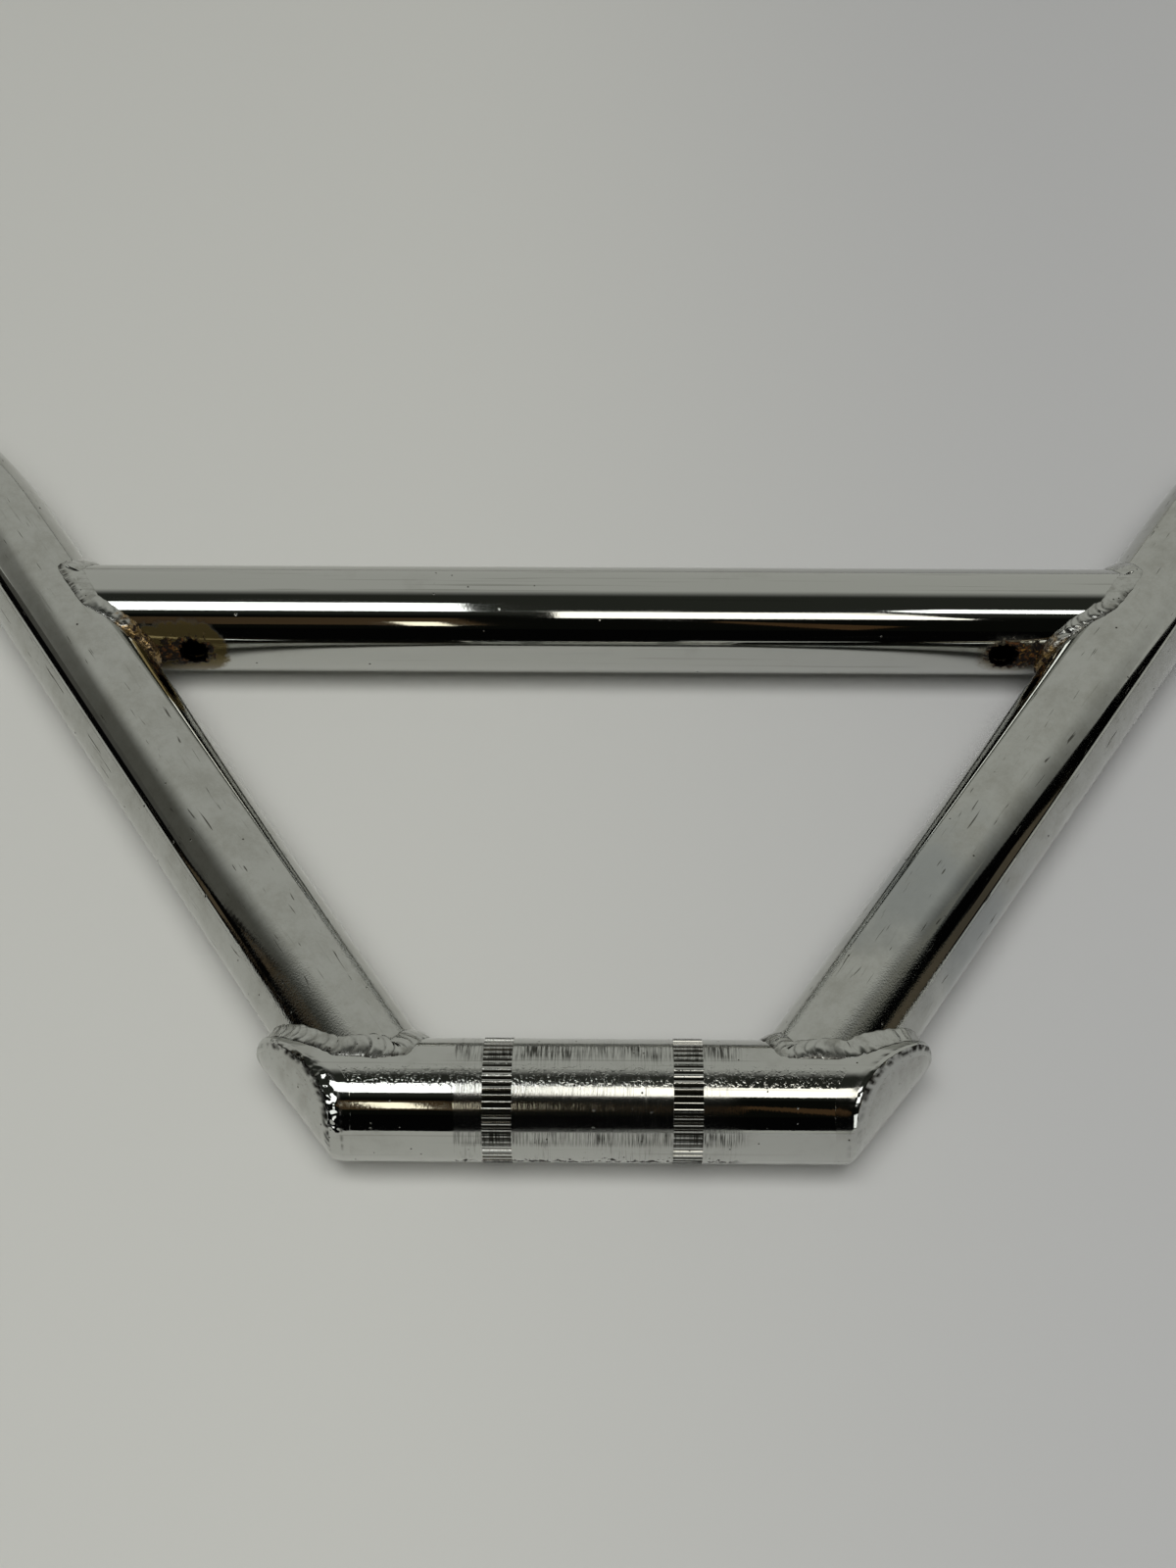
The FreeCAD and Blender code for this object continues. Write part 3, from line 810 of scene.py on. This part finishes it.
uprightLook = dict(tubeLook, roughness=0.03, cloudSize=9.0, cloudGrain=0.82, clouds=(0.36, 0.7),
                   cloudColour="#b0b0aa", cloudRoughness=0.07, streakLength=14.0, streaks=(0.64, 0.8), pitShare=0.26,
                   pitSpacing=2.9, waveSize=18.0, waveHeight=0.012, grainHeight=0.0003)
hotZone = {  # mm from the foot of the upright
    "from": 22.0,
    "to": 46.0,
    "wanderSize": 9.0,
    "wander": 30.0,
    "grainSize": 0.34,
    "grainHeight": 0.025,
    "rippleSize": 1.2,
    "rippleHeight": 0.0004,
    "rippleTo": 95.0,
    "rippleRest": 0.15,
    "hazePlace": 47.0,
    "hazeReach": 24.0,
    "hazeShare": {"left": 0.0, "right": 0.75},  # a dull bluish patch on the right
    "hazeFinish": {"Base Color": "#a3a7a8"},
}
scratches = {  # mm
    "length": 7.0,
    "width": 0.55,
    "marks": (0.71, 0.76),
    "share": 0.8,
    "finish": {"Base Color": "#4d4a43", "Roughness": 0.4},
}

for sideName, side in sides.items():
    finish = startChrome("satin_worn_chrome_plate_" + sideName, uprightLook, math.pi / 2 - side * lean,
                         (side * bar["footSpacing"], 0, 0))
    tree, place = finish["tree"], finish["place"]
    x, y, z = addNode(tree, "SeparateXYZ", {0: place}).outputs
    uneven = addNode(tree, "TexNoise", {"Vector": place, "Scale": 1 / hotZone["wanderSize"], "Detail": 2.0})
    along = addNode(tree, "Math", {0: uneven, 1: hotZone["wander"], 2: x}, operation="MULTIPLY_ADD")
    offset = hotZone["wander"] / 2  # the noise lies about a half
    hot = addNode(tree, "MapRange", {
        "Value": along, "From Min": hotZone["from"] + offset, "From Max": hotZone["to"] + offset, **falling}, **smooth)
    haze = addNode(tree, "MapRange", {
        "Value": awayFrom(tree, along, hotZone["hazePlace"] + offset), "From Max": hotZone["hazeReach"],
        "To Min": hotZone["hazeShare"][sideName], "To Max": 0.0}, **smooth)
    wearOver(finish, haze, hotZone["hazeFinish"])
    grain = addNode(tree, "TexNoise", {"Vector": place, "Scale": 1 / hotZone["grainSize"], "Detail": 2.0})
    grainy = addNode(tree, "Math", {0: grain, 1: hot}, **times)
    ripple = addNode(tree, "TexWave", {  # faint rings left by drawing the tube
        "Vector": place, "Scale": 0.314 / hotZone["rippleSize"], "Distortion": 5.0, "Detail": 2.0, "Detail Scale": 0.6})
    fading = addNode(tree, "MapRange", {
        "Value": x, "From Min": hotZone["to"], "From Max": hotZone["rippleTo"], "To Min": 1.0,
        "To Max": hotZone["rippleRest"]}, **smooth)
    ringed = addNode(tree, "Math", {0: ripple.outputs["Fac"], 1: fading}, **times)
    finish["relief"] += [(grainy, hotZone["grainHeight"]), (ringed, hotZone["rippleHeight"])]
    drawn = addNode(tree, "VectorMath", {
        0: place, 1: (1 / scratches["length"], 1 / scratches["width"], 1 / scratches["width"])}, **times)
    score = addNode(tree, "TexNoise", {"Vector": drawn, "Scale": 1.0, "Detail": 1.0, "Distortion": 0.6})
    scratched = addNode(tree, "MapRange", {
        "Value": score, **over(scratches["marks"]), "To Max": scratches["share"]}, **smooth)
    wearOver(finish, scratched, scratches["finish"])
    dress(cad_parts[sideName + "_upright"], endChrome(finish))
print("uprights dressed")


# clamp tube: a mirror at the ends, and scored round and round where a stem has turned and slipped

clampLook = dict(tubeLook, roughness=0.04, cloudSize=9.0, clouds=(0.5, 0.8), pitShare=0.3, pitSpacing=1.7,
                 pitSize=0.24, grainHeight=0.003, waveHeight=0.02)
stemZone = {  # mm
    "left": (-24.6, -24.3),
    "right": (24.0, 30.0),
    "wanderSize": 2.5,  # the right edge wanders
    "wander": 3.0,
    "dullFinish": {"Roughness": 0.13},
    "dullShare": 0.8,
    "patchSize": 7.0,
    "patches": (0.4, 0.62),
    "scoreWidth": 0.3,
    "scoreLength": 7.0,
    "scores": (0.5, 0.66),
    "scoreShare": 0.4,
    "scoreDepth": 0.017,
    "scoreFinish": {"Base Color": "#6f6f69", "Roughness": 0.3},
    "hatchFinish": {"Base Color": "#3b3b36", "Roughness": 0.3},
    "hatchBands": ((0.385, 0.2), (-1.18, 0.14)),  # angle from straight up, in radians, and half width
    "hatchEdge": (1.3, 0.6),  # in half widths
    "hatches": (0.42, 0.58),
    "hatchLeast": 0.45,
    "chipPlace": -1.83,  # radians from straight up
    "chipSize": 1.3,
    "chipReach": 0.9,
    "chipEdge": (-0.4, -0.46),
    "chipFinish": {"Base Color": "#2a2721", "Roughness": 0.6},
}
knurl = {  # mm
    "spacing": 33.8,
    "width": 5.2,
    "grooveRadius": 10.95,
    "crestRadius": 11.16,
    # the grooves' darker colour is painted shade in the recesses between the teeth
    "grooveShadeFinish": {"Base Color": "#4e4c45", "Roughness": 0.35},
    "bandFinish": {"Roughness": 0.08},
    "teeth": 56,
    "rounding": 0.07,  # each tooth's top is worn a little round
}
flecks = {  # mm: small blisters in the plate
    "size": 0.6,
    "spots": (0.52, 0.72),
    "depth": 0.022,
    "facing": (10.5, 10.75),  # thickest on the side that faces up
}

finish = startChrome("scored_chrome_plate_clamp", clampLook)
tree, place = finish["tree"], finish["place"]
x, y, z = addNode(tree, "SeparateXYZ", {0: place}).outputs
roundAngle = addNode(tree, "Math", {0: y, 1: z}, operation="ARCTAN2")
roundWay = addNode(tree, "Math", {0: roundAngle, 1: bar["tubeRadius"]}, **times)
unrolled = addNode(tree, "CombineXYZ", {0: x, 1: roundWay})
uneven = addNode(tree, "TexNoise", {"Vector": unrolled, "Scale": 1 / stemZone["wanderSize"], "Detail": 3.0})
wander = addNode(tree, "Math", {0: uneven, 1: stemZone["wander"], 2: x}, operation="MULTIPLY_ADD")
fromLeft = addNode(tree, "MapRange", {"Value": x, **over(stemZone["left"])})
fromRight = addNode(tree, "MapRange", {"Value": wander, **over(stemZone["right"]), **falling}, **smooth)
stem = addNode(tree, "Math", {0: fromLeft, 1: fromRight}, **times)

patch = addNode(tree, "TexNoise", {"Vector": unrolled, "Scale": 1 / stemZone["patchSize"], "Detail": 3.0})
patches = addNode(tree, "MapRange", {"Value": patch, **over(stemZone["patches"])}, **smooth)
worn = addNode(tree, "Math", {0: patches, 1: stem}, **times)
scoring = addNode(tree, "VectorMath", {
    0: unrolled, 1: (1 / stemZone["scoreWidth"], 1 / stemZone["scoreLength"], 1)}, **times)
score = addNode(tree, "TexNoise", {"Vector": scoring, "Scale": 1.0, "Detail": 3.0, "Roughness": 0.6})
scores = addNode(tree, "MapRange", {"Value": score, **over(stemZone["scores"])}, **smooth)
scored = addNode(tree, "Math", {0: scores, 1: worn}, **times)
scored = addNode(tree, "Math", {0: scored, 1: stemZone["scoreShare"]}, **times)
dulled = addNode(tree, "Math", {0: stem, 1: stemZone["dullShare"]}, **times)
wearOver(finish, dulled, stemZone["dullFinish"])
wearOver(finish, scored, stemZone["scoreFinish"])

hatching = 0.0
far, full = stemZone["hatchEdge"]
for middle, half in stemZone["hatchBands"]:
    inBand = addNode(tree, "MapRange", {
        "Value": awayFrom(tree, roundAngle, middle), "From Min": half * far, "From Max": half * full})
    hatching = addNode(tree, "Math", {0: inBand, 1: hatching}, operation="MAXIMUM")
hatched = addNode(tree, "MapRange", {"Value": score, **over(stemZone["hatches"])})
spread = addNode(tree, "MapRange", {"Value": patches, "To Min": stemZone["hatchLeast"]})
for mask in (hatching, spread, stem):
    hatched = addNode(tree, "Math", {0: hatched, 1: mask}, **times)
wearOver(finish, hatched, stemZone["hatchFinish"])

chip = addNode(tree, "TexNoise", {
    "Vector": place, "Scale": 1 / stemZone["chipSize"], "Detail": 4.0, "Roughness": 0.7})
chipAway = addNode(tree, "Math", {
    0: chip, 1: -stemZone["chipReach"], 2: awayFrom(tree, roundAngle, stemZone["chipPlace"])}, operation="MULTIPLY_ADD")
chipped = addNode(tree, "MapRange", {"Value": chipAway, **over(stemZone["chipEdge"])})
chips = addNode(tree, "Math", {0: chipped, 1: stem}, **times)
wearOver(finish, chips, stemZone["chipFinish"])
scoreHeight = addNode(tree, "Math", {0: score, 1: stem}, **times)

fleck = addNode(tree, "TexNoise", {"Vector": place, "Scale": 1 / flecks["size"], "Detail": 2.0})
spots = addNode(tree, "MapRange", {"Value": fleck, **over(flecks["spots"])})
facing = addNode(tree, "MapRange", {"Value": z, **over(flecks["facing"])}, **smooth)
flecked = addNode(tree, "Math", {0: spots, 1: facing}, **times)

cross = addNode(tree, "CombineXYZ", {1: y, 2: z})
radius = addNode(tree, "VectorMath", {0: cross}, operation="LENGTH").outputs["Value"]
outward = addNode(tree, "Math", {0: x}, operation="ABSOLUTE")
bandAway = awayFrom(tree, outward, knurl["spacing"] / 2)
band = addNode(tree, "Math", {0: bandAway, 1: knurl["width"] / 2}, operation="LESS_THAN")
groove = addNode(tree, "MapRange", {
    "Value": radius, "From Min": knurl["grooveRadius"], "From Max": knurl["crestRadius"], **falling})
shadedGrooves = addNode(tree, "Math", {0: groove, 1: band}, **times)
toothTurn = addNode(tree, "Math", {0: roundAngle, 1: knurl["teeth"]}, **times)
tooth = addNode(tree, "Math", {0: toothTurn}, operation="COSINE")
teeth = addNode(tree, "Math", {0: tooth, 1: band}, **times)
wearOver(finish, band, knurl["bandFinish"])
# painted shade in the knurl's grooves
wearOver(finish, shadedGrooves, knurl["grooveShadeFinish"])
finish["relief"] += [
    (scoreHeight, stemZone["scoreDepth"]), (flecked, flecks["depth"]), (teeth, knurl["rounding"])]
dress(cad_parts["clamp_tube"], endChrome(finish))
print("clamp tube dressed")


# end plates: pressed discs with a smooth bare face, lightly scuffed

plateLook = dict(tubeLook, roughness=0.12, cloudSize=5.0, clouds=(0.42, 0.7), cloudRoughness=0.22,
                 pitShare=0.2, pitSpacing=2.2, pitSize=0.28, grainHeight=0.003)
rimLook = dict(tubeLook, roughness=0.05, pitShare=0.16, pitSpacing=1.5, pitSize=0.24, waveSize=2.0, waveHeight=0.02)
rimDirt = {"Base Color": "#211e19", "Roughness": 0.45}  # in the rim's two edges

plateChrome = endChrome(startChrome("scuffed_chrome_plate_disc", plateLook))
finish = startChrome("ground_weld_chrome_plate", rimLook)
crease = addNode(finish["tree"], "Attribute", attribute_name="crease").outputs["Fac"]
wearOver(finish, crease, rimDirt)
rimChrome = endChrome(finish)
for sideName in sides:
    dress(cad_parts[sideName + "_end_plate"], plateChrome)
    dress(rims[sideName], rimChrome)
print("end plates dressed")


# weld metal under the plating: duller than the tubes, darker in the creases between the ripples and along the feet,
# with strokes of painted shade along the low foot

beadLook = dict(tubeLook, roughness=0.14, cloudSize=3.0, clouds=(0.4, 0.7), cloudColour="#a2a29c",
                cloudRoughness=0.26, pitShare=0.14, pitSpacing=1.2, pitSize=0.24, waveSize=1.6, waveHeight=0.02)
beadCreaseDarkening = {  # mm; broken up in patches
    "finish": {"Base Color": "#2a261f", "Roughness": 0.5},
    "patchSize": 1.9,
    "patches": (0.36, 0.56),
    "share": (0.3, 0.95),
}
beadRust = {  # places round the joint, as in beadShapes; sizes in mm
    "from": {"left_crossbar": (0.72, 0.8), "right_crossbar": (0.82, 0.9)},
    "to": (1.6, 1.9),
    "wanderSize": 2.2,
    "wander": 0.3,
    "goldFinish": {"Base Color": "#86682f", "Roughness": 0.2, "Metallic": 0.85},
    "goldShare": 0.85,
    "darkFinish": {"Base Color": "#1c0f06", "Roughness": 0.85, "Metallic": 0.0},
    "flakeSize": 1.2,
    "flakes": (0.5, 0.58),
}

for name, bead in beads.items():
    finish = startChrome("plated_weld_" + name, beadLook)
    tree, place = finish["tree"], finish["place"]
    crease = addNode(tree, "Attribute", attribute_name="crease").outputs["Fac"]
    patchNoise = addNode(tree, "TexNoise", {"Vector": place, "Scale": 1 / beadCreaseDarkening["patchSize"], "Detail": 3.0})
    least, most = beadCreaseDarkening["share"]
    patchy = addNode(tree, "MapRange", {
        "Value": patchNoise, **over(beadCreaseDarkening["patches"]), "To Min": least, "To Max": most})
    # darker in the bead's creases and along its feet; the strokes along the low foot are partly painted shade
    creaseDarkening = addNode(tree, "Math", {0: crease, 1: patchy}, **times)
    wearOver(finish, creaseDarkening, beadCreaseDarkening["finish"])
    if "crossbar" in name:
        around = addNode(tree, "Attribute", attribute_name="around").outputs["Fac"]
        uneven = addNode(tree, "TexNoise", {
            "Vector": place, "Scale": 1 / beadRust["wanderSize"], "Detail": 4.0, "Roughness": 0.65})
        wander = addNode(tree, "Math", {0: uneven, 1: beadRust["wander"], 2: around}, operation="MULTIPLY_ADD")
        start = [value + beadRust["wander"] / 2 for value in beadRust["from"][name]]
        starts = addNode(tree, "MapRange", {"Value": wander, **over(start)}, **smooth)
        stops = addNode(tree, "MapRange", {"Value": wander, **over(beadRust["to"]), **falling}, **smooth)
        rusty = addNode(tree, "Math", {0: starts, 1: stops}, **times)
        golden = addNode(tree, "Math", {0: rusty, 1: beadRust["goldShare"]}, **times)
        wearOver(finish, golden, beadRust["goldFinish"])
        flake = addNode(tree, "TexNoise", {"Vector": place, "Scale": 1 / beadRust["flakeSize"], "Detail": 3.0})
        flakes = addNode(tree, "MapRange", {"Value": flake, **over(beadRust["flakes"])}, **smooth)
        dark = addNode(tree, "Math", {0: flakes, 1: rusty}, **times)
        wearOver(finish, dark, beadRust["darkFinish"])
    dress(bead, endChrome(finish))
print("weld beads dressed")
